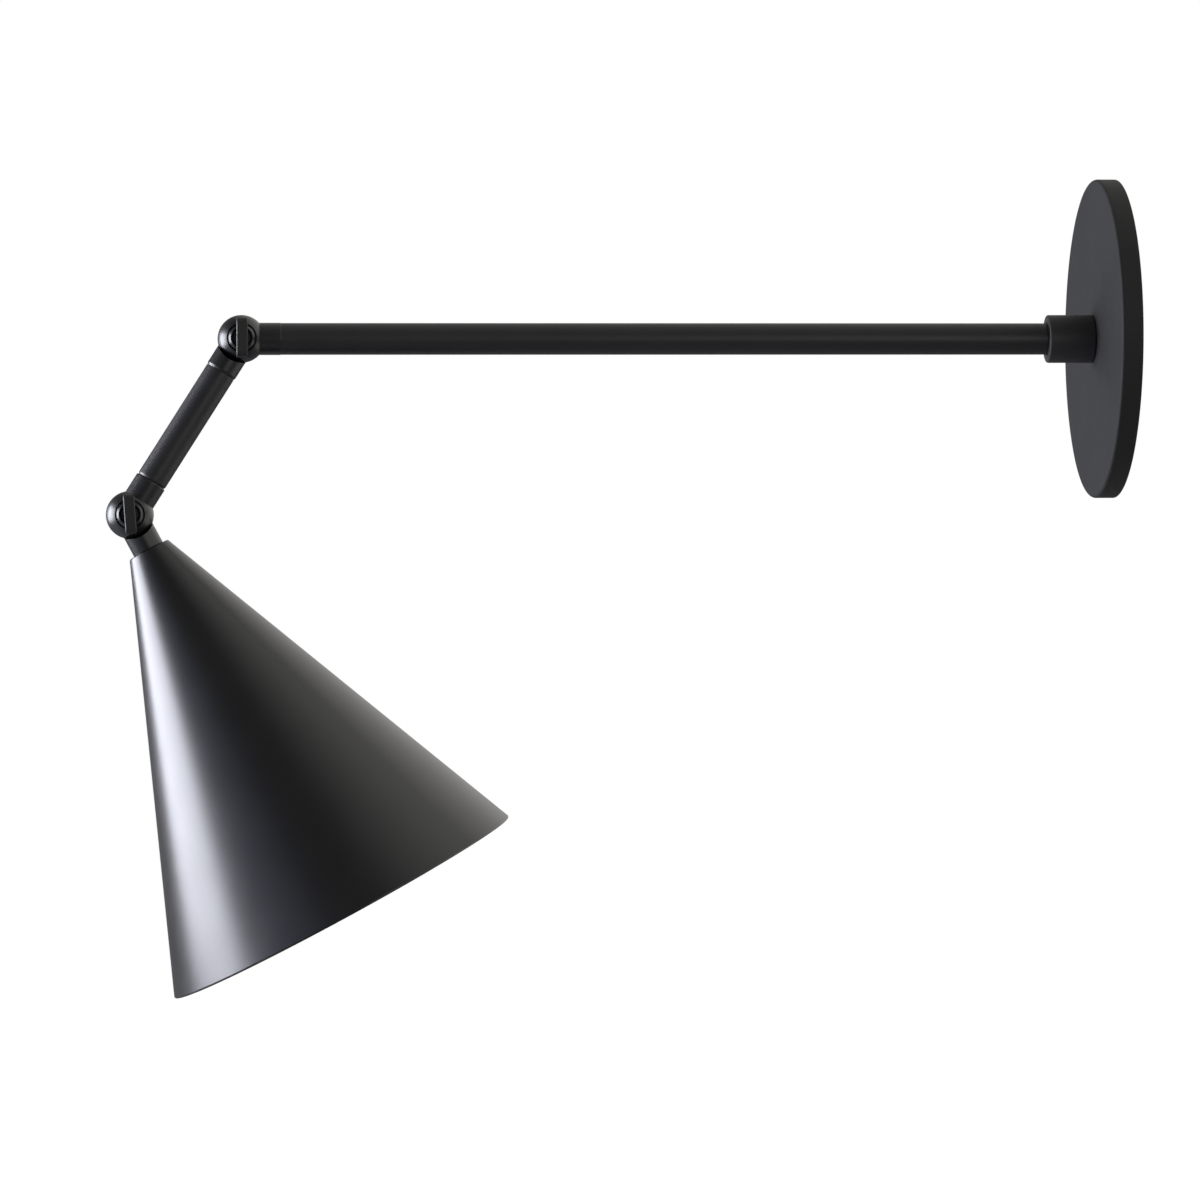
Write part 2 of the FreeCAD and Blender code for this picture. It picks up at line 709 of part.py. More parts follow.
pieces = {
    "canopy": canopy(),
    "mounting_bar": mounting_bar(),
    "bar_lock_washer": bar_lock_washer(),
    "bar_nut": bar_nut(),
    "ground_screw": ground_screw(),
    "wall_pipe": wall_pipe(),
    "collar": collar(),
    "arm_tube": arm_tube(),
    "arm_elbow_pipe": joining_pipe(elbow_centre, INTO_WALL, pipe_grip),
    "elbow_arm_half": place(key_side_half, elbow_centre, INTO_WALL),
    "elbow_link_half": place(nut_side_half, elbow_centre, link_out),
    "elbow_friction_disc": friction_disc(elbow_centre),
    "elbow_wave_washer": wave_washer(elbow_centre),
    "elbow_key": thumb_key(elbow_centre, 0),
    "elbow_key_nut": key_nut(elbow_centre),
    "link_upper_pipe": joining_pipe(elbow_centre, link_out, pipe_grip),
    "link_tube": link_tube(),
    "link_lower_pipe": joining_pipe(head_centre, link_out * -1, pipe_grip),
    "head_link_half": place(key_side_half, head_centre, link_out * -1),
    "head_shade_half": place(nut_side_half, head_centre, head_out),
    "head_friction_disc": friction_disc(head_centre),
    "head_wave_washer": wave_washer(head_centre),
    "head_key": thumb_key(head_centre, head_key_turn),
    "head_key_nut": key_nut(head_centre),
    "shade_pipe": joining_pipe(head_centre, head_out, holder_start + holder_hub_length),
    "shade": shade(),
    "shade_washer": shade_washer(),
    "shade_nut": shade_nut(),
    "holder_cap": holder_cap(),
    "holder_body": holder_body(),
    "screw_shell": screw_shell(),
    "holder_contact": holder_contact(),
    "bulb_contact": bulb_contact(),
    "bulb_cap": bulb_cap(),
    "bulb_globe": bulb_globe(),
}
pieces.update(all_leads())

for name, shape in pieces.items():
    export(name, shape)
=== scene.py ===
import json
import math

import bpy
from mathutils import Matrix, Vector


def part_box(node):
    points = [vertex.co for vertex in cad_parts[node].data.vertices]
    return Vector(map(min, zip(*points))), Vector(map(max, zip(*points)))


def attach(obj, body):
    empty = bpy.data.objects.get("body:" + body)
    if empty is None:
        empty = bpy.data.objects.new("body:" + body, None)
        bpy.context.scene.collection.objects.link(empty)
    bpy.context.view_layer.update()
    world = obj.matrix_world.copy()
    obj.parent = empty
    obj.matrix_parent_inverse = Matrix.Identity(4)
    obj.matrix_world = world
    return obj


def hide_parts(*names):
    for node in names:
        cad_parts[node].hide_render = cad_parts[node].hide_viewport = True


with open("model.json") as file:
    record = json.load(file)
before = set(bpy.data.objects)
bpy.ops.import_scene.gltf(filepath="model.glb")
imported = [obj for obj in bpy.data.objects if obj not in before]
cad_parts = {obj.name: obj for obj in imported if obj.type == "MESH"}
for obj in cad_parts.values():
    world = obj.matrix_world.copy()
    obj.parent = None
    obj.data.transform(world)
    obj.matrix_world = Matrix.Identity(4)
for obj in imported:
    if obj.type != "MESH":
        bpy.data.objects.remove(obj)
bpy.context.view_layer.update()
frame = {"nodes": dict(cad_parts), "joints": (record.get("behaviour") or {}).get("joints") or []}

# ------------------------------------------------------------------ camera
# The photograph is taken square to the lamp's side with a long lens, a little from the front and from below.
# The image is 1200 x 1200. Lengths are metres, unless a name ends in _mm or _MM.
MM = 0.001
LOOK_AT = Vector((0, -209.7, -105.0)) * MM
CAMERA_DISTANCE = 2116.4 * MM
CAMERA_LENS_MM = 157.98
CAMERA_SENSOR_MM = 36
CAMERA_REACH = 50                    # past the far edge of the floor
CAMERA_TURN = math.radians(5.1)      # towards the lamp's front
CAMERA_RISE = math.radians(-0.8)
CAMERA_ROLL = math.radians(-0.32)

backwards = Vector((math.cos(CAMERA_RISE) * math.cos(CAMERA_TURN),
                    -math.cos(CAMERA_RISE) * math.sin(CAMERA_TURN),
                    math.sin(CAMERA_RISE)))
level_right = Vector((math.sin(CAMERA_TURN), math.cos(CAMERA_TURN), 0))
level_up = backwards.cross(level_right)
right = level_right * math.cos(CAMERA_ROLL) + level_up * math.sin(CAMERA_ROLL)
up = backwards.cross(right)

camera_data = bpy.data.cameras.new("photo_camera")
camera_data.sensor_width = CAMERA_SENSOR_MM
camera_data.lens = CAMERA_LENS_MM
camera_data.clip_end = CAMERA_REACH
camera = bpy.data.objects.new("photo_camera", camera_data)
aimed = Matrix((right, up, backwards)).transposed().to_4x4()
camera.matrix_world = Matrix.Translation(LOOK_AT + backwards * CAMERA_DISTANCE) @ aimed
bpy.context.scene.collection.objects.link(camera)
bpy.context.scene.camera = camera


# ------------------------------------------------------------------ studio
# The lamp hangs over a pale floor, between white paper on its wall side and a dim room off its front end, so
# black stays black. One near soft box off the front end draws the bright bands and three faint ones fill.
def linear(hex_colour):
    """sRGB hex to the linear colour that a socket takes."""
    channels = [int(hex_colour[i:i + 2], 16) / 255 for i in (1, 3, 5)]
    return tuple(c / 12.92 if c <= 0.04045 else ((c + 0.055) / 1.055) ** 2.4 for c in channels) + (1.0,)


def add(tree, kind, links=(), values=(), **settings):
    """Adds a node: links are its linked sockets, values its unlinked ones and settings its properties."""
    made = tree.nodes.new(kind)
    for name, setting in settings.items():
        setattr(made, name, setting)
    for name, value in dict(values).items():
        made.inputs[name].default_value = value
    for name, source in dict(links).items():
        tree.links.new(source, made.inputs[name])
    return made


def new_material(name):
    """An empty material of that name, and its node tree."""
    material = bpy.data.materials.new(name)
    material.use_nodes = True
    material.node_tree.nodes.clear()
    return material, material.node_tree


bpy.context.scene.view_settings.view_transform = "Standard"

# Camera and transmission rays see plain white. Glossy and diffuse rays see paper where PAPER_SIDE points, on
# the wall side and a little behind and above, and it falls off to the dim room. Glossy rays are kept from the
# plain white, because it would lay a grey veil over the black paint, and the photograph shows none.
PAPER_SIDE = Vector((-0.2, 0.95, 0.2)).normalized()
PAPER_STRENGTH = 1.65
ROOM_STRENGTH = 0.16
world = bpy.data.worlds.new("studio_room")
bpy.context.scene.world = world
world.use_nodes = True
tree = world.node_tree
tree.nodes.clear()
path = add(tree, "ShaderNodeLightPath")
direction = add(tree, "ShaderNodeTexCoord")
towards = add(tree, "ShaderNodeVectorMath", links={0: direction.outputs["Generated"]},
              values={1: PAPER_SIDE}, operation="DOT_PRODUCT")
paper = add(tree, "ShaderNodeMapRange", links={"Value": towards.outputs["Value"]},
            values={"From Min": 0.0, "From Max": 1.0, "To Min": ROOM_STRENGTH, "To Max": PAPER_STRENGTH})
room = add(tree, "ShaderNodeBackground", links={"Strength": paper.outputs["Result"]},
           values={"Color": linear("#fffdfa")})
white = add(tree, "ShaderNodeBackground", values={"Color": (1, 1, 1, 1), "Strength": 1.0})
seen = add(tree, "ShaderNodeMath", operation="MAXIMUM",
           links={0: path.outputs["Is Camera Ray"], 1: path.outputs["Is Transmission Ray"]})
shown = add(tree, "ShaderNodeMixShader", links={0: seen.outputs[0], 1: room.outputs[0], 2: white.outputs[0]})
add(tree, "ShaderNodeOutputWorld", links={"Surface": shown.outputs[0]})

FLOOR_DROP = 620 * MM
FLOOR_HALF = 6.0
floor_mesh = bpy.data.meshes.new("studio_floor")
floor_corners = [(x * FLOOR_HALF, y * FLOOR_HALF, -FLOOR_DROP)
                 for x, y in ((-1, -1), (1, -1), (1, 1), (-1, 1))]
floor_mesh.from_pydata(floor_corners, [], [(0, 1, 2, 3)])
floor = bpy.data.objects.new("studio_floor", floor_mesh)
bpy.context.scene.collection.objects.link(floor)
# Background paper: matt and grey to the light, so it keeps the lamp's shadow, and near white to the camera.
paper_floor, tree = new_material("white_background_paper")
path = add(tree, "ShaderNodeLightPath")
matt = add(tree, "ShaderNodeBsdfDiffuse", values={"Color": linear("#8e8e90")})
seen = add(tree, "ShaderNodeMath", operation="MAXIMUM",
           links={0: path.outputs["Is Camera Ray"], 1: path.outputs["Is Transmission Ray"]})
glow = add(tree, "ShaderNodeEmission", links={"Strength": seen.outputs[0]},
           values={"Color": linear("#f4f4f4")})
lit = add(tree, "ShaderNodeAddShader", links={0: matt.outputs[0], 1: glow.outputs[0]})
# The sheet is clear from underneath, so the lamp can be looked at from below too.
facing = add(tree, "ShaderNodeNewGeometry")
clear = add(tree, "ShaderNodeBsdfTransparent")
sheet = add(tree, "ShaderNodeMixShader",
            links={0: facing.outputs["Backfacing"], 1: lit.outputs[0], 2: clear.outputs[0]})
add(tree, "ShaderNodeOutputMaterial", links={"Surface": sheet.outputs[0]})
floor_mesh.materials.append(paper_floor)


def soft_box(name, place, aim, width, height, power, colour):
    """An area light that the camera doesn't see, at place and turned to aim. Power is in watts."""
    data = bpy.data.lights.new(name, "AREA")
    data.shape = "RECTANGLE"
    data.size = width
    data.size_y = height
    data.energy = power
    data.color = linear(colour)[:3]
    box = bpy.data.objects.new(name, data)
    box.location = place
    box.rotation_euler = (Vector(aim) - Vector(place)).to_track_quat("-Z", "Y").to_euler()
    box.visible_camera = False
    bpy.context.scene.collection.objects.link(box)


# The front box gives the bright band down the shade, the rims of the balls and the dull grey of the canopy.
soft_box("front_soft_box", place=(-0.20, -1.21, -0.02), aim=(0, -0.39, -0.10),
         width=0.70, height=0.58, power=23.5, colour="#f1f3ff")
# The window glow, between that box and the camera, gives the bright band its long bluish fall-off.
soft_box("window_glow", place=(0.86, -1.36, -0.05), aim=(0, -0.40, -0.14),
         width=1.00, height=0.90, power=1.9, colour="#c9d2ff")
# The fill stands where the sides of the arm, the collar and the key bars mirror it, and lifts them off black.
soft_box("fill_beside_camera", place=(1.30, 0.33, 0.02), aim=(0, -0.10, -0.02),
         width=0.60, height=0.50, power=2.0, colour="#ffffff")
# The bounce board, low on the wall side, lifts the edges that face down and towards the wall.
soft_box("bounce_board", place=(-0.10, 0.75, -0.55), aim=(0, -0.38, -0.10),
         width=0.90, height=0.60, power=2.6, colour="#fff6ee")


# ------------------------------------------------------------------ canopy
# Shallow round pan, spun from steel sheet and powder coated. Its rolled front edge is soft, its open back
# lies on the wall, and the collar clamps it through one hole in the middle.
def rounded(corners, step=math.radians(9)):
    """Outline of (radius, height) points from (radius, height, rounding) corners, each corner an arc.
    Roundings of up to 0.8 mm, on broken edges and small corners, are written as plain numbers."""
    points = []
    count = len(corners)
    for i, (r, h, rounding) in enumerate(corners):
        here = Vector((r, h))
        before = (Vector(corners[i - 1][:2]) - here).normalized()
        after = (Vector(corners[(i + 1) % count][:2]) - here).normalized()
        opening = before.angle(after)
        if rounding <= 0 or opening > math.pi - 0.02:
            points.append(here)
            continue
        reach = rounding / math.tan(opening / 2)
        start = here + before * reach
        end = here + after * reach
        centre = here + (before + after).normalized() * (rounding / math.sin(opening / 2))
        arm = start - centre
        sweep = arm.angle_signed(end - centre)
        pieces = max(2, math.ceil(abs(sweep) / step))
        for k in range(pieces + 1):
            points.append(centre + arm @ Matrix.Rotation(sweep * k / pieces, 2))
    return points


def lathe(name, outline, segments=160, grip=None):
    """Mesh, in millimetres, of a closed outline of (radius, height) points turned about Z.
    grip(radius, height, angle) may change the radius, for ribs."""
    vertices = []
    rings = []
    for r, h in outline:
        if r < 1e-6:
            rings.append([len(vertices)] * segments)
            vertices.append((0, 0, h))
            continue
        rings.append(list(range(len(vertices), len(vertices) + segments)))
        for k in range(segments):
            angle = 2 * math.pi * k / segments
            radius = grip(r, h, angle) if grip else r
            vertices.append((radius * math.cos(angle), radius * math.sin(angle), h))
    faces = []
    for i, ring in enumerate(rings):
        following = rings[(i + 1) % len(rings)]
        for k in range(segments):
            corner = [ring[k], ring[(k + 1) % segments], following[(k + 1) % segments], following[k]]
            face = [v for j, v in enumerate(corner) if v not in corner[:j]]
            if len(face) > 2:
                faces.append(face)
    mesh = bpy.data.meshes.new(name)
    mesh.from_pydata(vertices, [], faces)
    mesh.validate()
    return mesh


def stand(mesh, base, axis):
    """Moves a millimetre mesh, made along +Z at the origin, to base with its +Z along axis."""
    z = Vector(axis).normalized()
    x = Vector((1, 0, 0)) if abs(z.x) < 0.9 else Vector((0, 0, 1))
    y = z.cross(x).normalized()
    x = y.cross(z)
    turned = Matrix((x, y, z)).transposed().to_4x4()
    mesh.transform(Matrix.Translation(Vector(base)) @ turned @ Matrix.Scale(MM, 4))
    mesh.update()


def shown_piece(mesh, material, body, *nodes, sharp=35):
    """Puts a mesh in the scene with its finish, on its body, in place of the CAD nodes it stands for."""
    piece = bpy.data.objects.new(mesh.name, mesh)
    bpy.context.scene.collection.objects.link(piece)
    mesh.materials.append(material)
    for face in mesh.polygons:
        face.use_smooth = True
    mesh.set_sharp_from_angle(angle=math.radians(sharp))
    even = piece.modifiers.new("even_shading", "WEIGHTED_NORMAL")
    even.keep_sharp = True
    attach(piece, body)
    if nodes:
        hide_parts(*nodes)
    return piece


def finish(name, deep, pale, patch_mm, roughness, wander, grain_mm, grain_height_mm, stretch=(1, 1, 1),
           **constant):
    """A surface whose colour drifts between deep and pale in patches of patch_mm, whose roughness wanders
    with it, and whose grain of grain_mm stands grain_height_mm high. stretch draws the grain out into
    strokes, and constant holds sockets of the shader that stay even."""
    material, tree = new_material(name)
    place = add(tree, "ShaderNodeTexCoord")
    patches = add(tree, "ShaderNodeTexNoise", links={"Vector": place.outputs["Object"]},
                  values={"Scale": 1 / (patch_mm * MM), "Detail": 4.0, "Roughness": 0.6})
    colour = add(tree, "ShaderNodeValToRGB", links={"Fac": patches.outputs["Fac"]})
    colour.color_ramp.elements[0].position = 0.3
    colour.color_ramp.elements[0].color = linear(deep)
    colour.color_ramp.elements[1].position = 0.75
    colour.color_ramp.elements[1].color = linear(pale)
    strokes = add(tree, "ShaderNodeMapping", links={"Vector": place.outputs["Object"]},
                  values={"Scale": stretch})
    grain = add(tree, "ShaderNodeTexNoise", links={"Vector": strokes.outputs["Vector"]},
                values={"Scale": 1 / (grain_mm * MM), "Detail": 2.0, "Roughness": 0.5})
    gloss = add(tree, "ShaderNodeMapRange", links={"Value": patches.outputs["Fac"]},
                values={"From Min": 0.3, "From Max": 0.7,
                        "To Min": roughness - wander, "To Max": roughness + wander})
    relief = add(tree, "ShaderNodeBump", links={"Height": grain.outputs["Fac"]},
                 values={"Strength": 0.5, "Distance": grain_height_mm * MM})
    values = {socket.replace("_", " "): value for socket, value in constant.items()}
    skin = add(tree, "ShaderNodeBsdfPrincipled", values=values,
               links={"Base Color": colour.outputs["Color"], "Roughness": gloss.outputs["Result"],
                      "Normal": relief.outputs["Normal"]})
    add(tree, "ShaderNodeOutputMaterial", links={"Surface": skin.outputs[0]})
    return material


OFF_WALL = Vector((0, -1, 0))        # the arm's direction
low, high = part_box("canopy")
canopy_radius_mm = (high[0] - low[0]) / 2 / MM
canopy_depth_mm = (high[1] - low[1]) / MM
CANOPY_WALL_MM = 1.6
CANOPY_EDGE_MM = 1.3          # round of the front edge
PIPE_HOLE_MM = 5.1            # radius, clears the lamp pipe

# Powder coat, matte: a dry film with a fine pebble of about 0.45 mm. It spreads the soft box into one dull
# grey over the face and shows no clear reflection.
canopy_paint = finish("matte_charcoal_powder_coat", "#0b0b0b", "#0f0f0f", patch_mm=14,
                      roughness=0.74, wander=0.03, grain_mm=0.45, grain_height_mm=0.02, IOR=1.5)
canopy_mesh = lathe("canopy_pan", rounded([
    (canopy_radius_mm - CANOPY_WALL_MM, 0, 0.2), (canopy_radius_mm, 0, 0.3),
    (canopy_radius_mm, canopy_depth_mm, CANOPY_EDGE_MM), (PIPE_HOLE_MM, canopy_depth_mm, 0.15),
    (PIPE_HOLE_MM, canopy_depth_mm - CANOPY_WALL_MM, 0.1),
    (canopy_radius_mm - CANOPY_WALL_MM, canopy_depth_mm - CANOPY_WALL_MM, 0.8)]), segments=256)
stand(canopy_mesh, (0, 0, 0), OFF_WALL)
shown_piece(canopy_mesh, canopy_paint, "wall_mount", "canopy")


# ------------------------------------------------------------------ wall hardware
# Behind the canopy a stamped steel bar bolts to the wall box. A threaded lamp pipe stands in it with a tooth
# washer and a nut, and a green screw takes the earth wire. All but the green screw are bright zinc plated.
THREAD_ROWS = 8               # rings of points to one turn of a thread


def threaded(name, crest_mm, root_mm, pitch_mm, length_mm, bore_mm, lead_in_mm, segments=72):
    """Mesh, in millimetres, of a threaded rod or pipe along +Z, its ends turned down to the root."""
    rows = int(length_mm / pitch_mm * THREAD_ROWS) + 1
    outline = [(crest_mm, length_mm * i / (rows - 1)) for i in range(rows)]
    if bore_mm:
        outline += [(bore_mm, length_mm), (bore_mm, 0)]
    else:
        outline = [(0, 0)] + outline + [(0, length_mm)]

    def helix(radius, height, angle):
        if radius < crest_mm:
            return radius
        wave = 0.5 + 0.5 * math.cos(2 * math.pi * height / pitch_mm - angle)
        end = min(height, length_mm - height) / lead_in_mm
        return root_mm + (crest_mm - root_mm) * wave * min(1, end)

    return lathe(name, outline, segments, helix)


def dress(material, *node_names):
    """Gives CAD nodes their finish."""
    for node_name in node_names:
        node = frame["nodes"][node_name]
        node.data.materials.clear()
        node.data.materials.append(material)


# Bright zinc plate: a thin passivated coat, silvery with faint blue and straw patches and a low satin grain.
zinc_plate = finish("bright_zinc_plate", "#a9abac", "#c3c2bd", patch_mm=3.0,
                    roughness=0.34, wander=0.07, grain_mm=0.25, grain_height_mm=0.004, Metallic=1.0)
# Dyed plate on the earthing screw: a clear green that still looks like metal under it.
earth_green = finish("green_dyed_plate", "#1f6a38", "#2f8348", patch_mm=2.0,
                     roughness=0.36, wander=0.06, grain_mm=0.2, grain_height_mm=0.004, Metallic=0.4)
dress(zinc_plate, "mounting_bar", "bar_lock_washer", "bar_nut", "arm_elbow_pipe", "link_upper_pipe",
      "link_lower_pipe", "elbow_key_nut", "head_key_nut", "shade_washer", "shade_nut")
dress(earth_green, "ground_screw")

PIPE_CREST_MM = 5.0
PIPE_ROOT_MM = 4.5
PIPE_PITCH_MM = 1.0
PIPE_BORE_MM = 3.5
PIPE_LEAD_IN_MM = 0.6
low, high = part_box("wall_pipe")
wall_pipe_mesh = threaded("wall_lamp_pipe", PIPE_CREST_MM, PIPE_ROOT_MM, PIPE_PITCH_MM,
                          (high[1] - low[1]) / MM, PIPE_BORE_MM, PIPE_LEAD_IN_MM)
stand(wall_pipe_mesh, (0, high[1], 0), OFF_WALL)
shown_piece(wall_pipe_mesh, zinc_plate, "wall_mount", "wall_pipe", sharp=60)


# ------------------------------------------------------------------ collar and arm
# The collar is turned from solid bar and the arm is drawn steel tube, cut square. Both are powder coated.
# The tube stands in the collar's bore and its far end butts against the elbow's neck.

# Powder coat on the tube: dull, so a highlight runs along it as a soft grey band.
tube_paint = finish("satin_black_powder_coat_on_tube", "#151516", "#1b1b1c", patch_mm=14,
                    roughness=0.45, wander=0.03, grain_mm=0.35, grain_height_mm=0.008, IOR=1.5)
# On the collar the coat is drier than on the tube, so it shows no clear band. Its grey base is painted light:
# it is lighter than the tube's black and stands in for the fill light that reaches the collar.
collar_paint_lightened_for_fill = finish("black_powder_coat_on_collar_with_painted_fill_light", "#2b2b2c", "#333334", patch_mm=14,
                      roughness=0.5, wander=0.03, grain_mm=0.4, grain_height_mm=0.01, IOR=1.5)

low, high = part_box("collar")
collar_radius_mm = (high[0] - low[0]) / 2 / MM
collar_length_mm = (high[1] - low[1]) / MM
COLLAR_BORE_MM = 6.45
COLLAR_FLOOR_MM = 3.0
COLLAR_EDGE_MM = 0.8
collar_mesh = lathe("collar", rounded([
    (PIPE_HOLE_MM, 0, 0.1), (collar_radius_mm, 0, COLLAR_EDGE_MM),
    (collar_radius_mm, collar_length_mm, COLLAR_EDGE_MM),
    (COLLAR_BORE_MM, collar_length_mm, 0.25), (COLLAR_BORE_MM, COLLAR_FLOOR_MM, 0.1),
    (PIPE_HOLE_MM, COLLAR_FLOOR_MM, 0.1)]), segments=128)
stand(collar_mesh, (0, high[1], 0), OFF_WALL)
# The collar's lighter grey is painted fill light, not a different colour of coat.
shown_piece(collar_mesh, collar_paint_lightened_for_fill, "wall_mount", "collar")

low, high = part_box("arm_tube")
arm_radius_mm = (high[0] - low[0]) / 2 / MM
arm_length_mm = (high[1] - low[1]) / MM
TUBE_BORE_MM = 5.05
ARM_EDGE_MM = 0.15            # at the elbow, almost square, so the seam with the neck stays a fine line
arm_mesh = lathe("arm_tube", rounded([
    (TUBE_BORE_MM, 0, 0.15), (arm_radius_mm, 0, 0.35), (arm_radius_mm, arm_length_mm, ARM_EDGE_MM),
    (TUBE_BORE_MM, arm_length_mm, ARM_EDGE_MM)]), segments=128)
stand(arm_mesh, (0, high[1], 0), OFF_WALL)
shown_piece(arm_mesh, tube_paint, "wall_mount", "arm_tube")


# ------------------------------------------------------------------ knuckles
# Each knuckle is two turned half balls with necks, coated before assembly. A thumb key in the front half
# draws them together over a fibre disc, and a wave washer of spring steel keeps them stiff.
hinges = {joint["name"]: Vector(joint["pos_m"]) for joint in frame["joints"]}
elbow = hinges["elbow_tilt"]
head_pivot = hinges["head_tilt"]
# Vulcanised fibre: dull brick red, with the fine mat of pressed cotton paper.
red_fibre = finish("vulcanised_red_fibre", "#6d2a1f", "#85382a", patch_mm=1.5,
                   roughness=0.75, wander=0.05, grain_mm=0.12, grain_height_mm=0.02, IOR=1.5)
# Spring steel, oiled: darker than the plated parts, with a tight grain drawn out as if by rolling.
spring_steel = finish("oiled_spring_steel", "#77767a", "#8e8c8a", patch_mm=2.0,
                      roughness=0.3, wander=0.05, grain_mm=0.1, grain_height_mm=0.003,
                      stretch=(1, 1, 6), Metallic=1.0)
dress(red_fibre, "elbow_friction_disc", "head_friction_disc")
dress(spring_steel, "elbow_wave_washer", "head_wave_washer")

# A half ball and its neck are one turned and milled piece. Where the other half turns past, the neck is
# milled back to a round clearance, so each ball shows its whole circle in front of it, over a dark gap.
# The powder coat lies smoother on turned metal than on the tube, and small curves pick up brighter glints.
knuckle_paint = finish("satin_black_powder_coat_on_turned_metal", "#111112", "#161617", patch_mm=10,
                       roughness=0.36, wander=0.02, grain_mm=0.3, grain_height_mm=0.004, IOR=1.5)
HALF_GAP_MM = 0.15            # from the hinge plane to the flat face
BALL_RADIUS_MM = 9.55
BALL_STEPS = 40               # from the flat face to the mouth of the recess
BALL_EDGE_MM = 0.25
PIVOT_BORE_MM = 2.05
RECESS_FLOOR_MM = 5.4
KEY_RECESS_MM = 5.75
NUT_POCKET_MM = 4.35
NECK_START_MM = 5.9           # inside its own ball, clear of the recess
NECK_REACH_MM = 15.75
NECK_RADIUS_MM = 6.45
CLEARANCE_RADIUS_MM = 9.8
CLEARANCE_REACH_MM = 20       # past the outside of the neck
END_ROUND = 1.2               # rounding where an end starts to draw in, per millimetre of its length


def half_ball(name, recess_mm):
    """Half ball along +Z from the hinge plane, with a bored recess that has a broken edge."""
    def on_ball(radius):
        return math.sqrt(BALL_RADIUS_MM ** 2 - radius ** 2)

    first = math.asin((HALF_GAP_MM + BALL_EDGE_MM) / BALL_RADIUS_MM)
    last = math.acos((recess_mm + BALL_EDGE_MM) / BALL_RADIUS_MM)
    skin = [first + (last - first) * k / BALL_STEPS for k in range(BALL_STEPS + 1)]
    mouth = on_ball(recess_mm + BALL_EDGE_MM) - BALL_EDGE_MM
    outline = [(PIVOT_BORE_MM, HALF_GAP_MM), (on_ball(HALF_GAP_MM) - BALL_EDGE_MM, HALF_GAP_MM)]
    outline += [(BALL_RADIUS_MM * math.cos(angle), BALL_RADIUS_MM * math.sin(angle)) for angle in skin]
    outline += [(recess_mm, mouth), (recess_mm, RECESS_FLOOR_MM), (PIVOT_BORE_MM, RECESS_FLOOR_MM)]
    return lathe(name, outline, segments=192)


def milled_neck(name, centre, axis, side, depth, length):
    """Neck along axis from inside its own half ball, milled back on the other half's side. Its end is drawn
    in by depth over length."""
    stock_mesh = lathe(name + "_stock", rounded([
        (0, NECK_START_MM, 0), (NECK_RADIUS_MM, NECK_START_MM, 0),
        (NECK_RADIUS_MM, NECK_REACH_MM - length, length * END_ROUND),
        (NECK_RADIUS_MM - depth, NECK_REACH_MM, 0.1), (0, NECK_REACH_MM, 0)]), segments=192)
    cutter_mesh = lathe(name + "_cutter", [
        (0, -HALF_GAP_MM), (CLEARANCE_RADIUS_MM, -HALF_GAP_MM),
        (CLEARANCE_RADIUS_MM, CLEARANCE_REACH_MM), (0, CLEARANCE_REACH_MM)], segments=256)
    stand(stock_mesh, centre, axis)
    stand(cutter_mesh, centre, (-side, 0, 0))
    stock = bpy.data.objects.new(name + "_stock", stock_mesh)
    cutter = bpy.data.objects.new(name + "_cutter", cutter_mesh)
    for shape in (stock, cutter):
        bpy.context.scene.collection.objects.link(shape)
    milling = stock.modifiers.new("milling", "BOOLEAN")
    milling.object = cutter
    milling.operation = "DIFFERENCE"
    milling.solver = "EXACT"
    milled = bpy.data.meshes.new_from_object(stock.evaluated_get(bpy.context.evaluated_depsgraph_get()))
    milled.name = name
    for shape in (stock, cutter):
        bpy.data.objects.remove(shape)
    return milled


SHADE_HEADING = math.radians(298.1)      # of the shade's axis, seen from the key side, in the hinge plane
link_axis = (head_pivot - elbow).normalized()
shade_axis = Vector((0, math.cos(SHADE_HEADING), math.sin(SHADE_HEADING)))
# The last pair is the depth and length of the neck's end. The neck over the link tube has the longest, for
# the glint at its seam.
for node_name, body, pivot, axis, side, recess_mm, end_mm in (
        ("elbow_arm_half", "wall_mount", elbow, Vector((0, 1, 0)), 1, KEY_RECESS_MM, (0.1, 0.25)),
        ("elbow_link_half", "link", elbow, link_axis, -1, NUT_POCKET_MM, (0.38, 1.0)),
        ("head_link_half", "link", head_pivot, -link_axis, 1, KEY_RECESS_MM, (0.15, 0.3)),
        ("head_shade_half", "head", head_pivot, shade_axis, -1, NUT_POCKET_MM, (0.12, 0.25))):
    ball_mesh = half_ball(node_name + "_ball", recess_mm)
    stand(ball_mesh, pivot, (side, 0, 0))
    shown_piece(ball_mesh, knuckle_paint, body, node_name)
    shown_piece(milled_neck(node_name + "_neck", pivot, axis, side, *end_mm), knuckle_paint, body)

# Thumb key: a turned disc with a dished face and a soft rim, and a flat bar with broken edges to turn it by.
# The bar is cast, so the same coat lies rougher on its flats and doesn't flash.
key_bar_paint = finish("satin_black_powder_coat_on_casting", "#111112", "#161617", patch_mm=10,
                       roughness=0.52, wander=0.02, grain_mm=0.3, grain_height_mm=0.008, IOR=1.5)
DISC_RADIUS_MM = 5.4
DISC_UNDER_MM = 6.25
DISC_RIM_MM = 7.45            # height where the bevel starts
DISC_TOP_MM = 8.6
BEVEL_MM = 0.95
LIP_MM = 0.35
DISH_MM = 0.7
SHANK_RADIUS_MM = 2.0
SHANK_END_MM = -8.0
BAR_HALF_MM = 7.9
BAR_WIDTH_MM = 4.4
BAR_BASE_MM = 7.67
BAR_FACE_MM = 12.8
BAR_FOOT_MM = 0.3             # round of the corners on the disc's side
BAR_CORNER_MM = 2.4           # round of the outer corners
BAR_EDGE_MM = 0.5
HEAD_KEY_TURN = math.radians(4)      # how far round the lower key was left
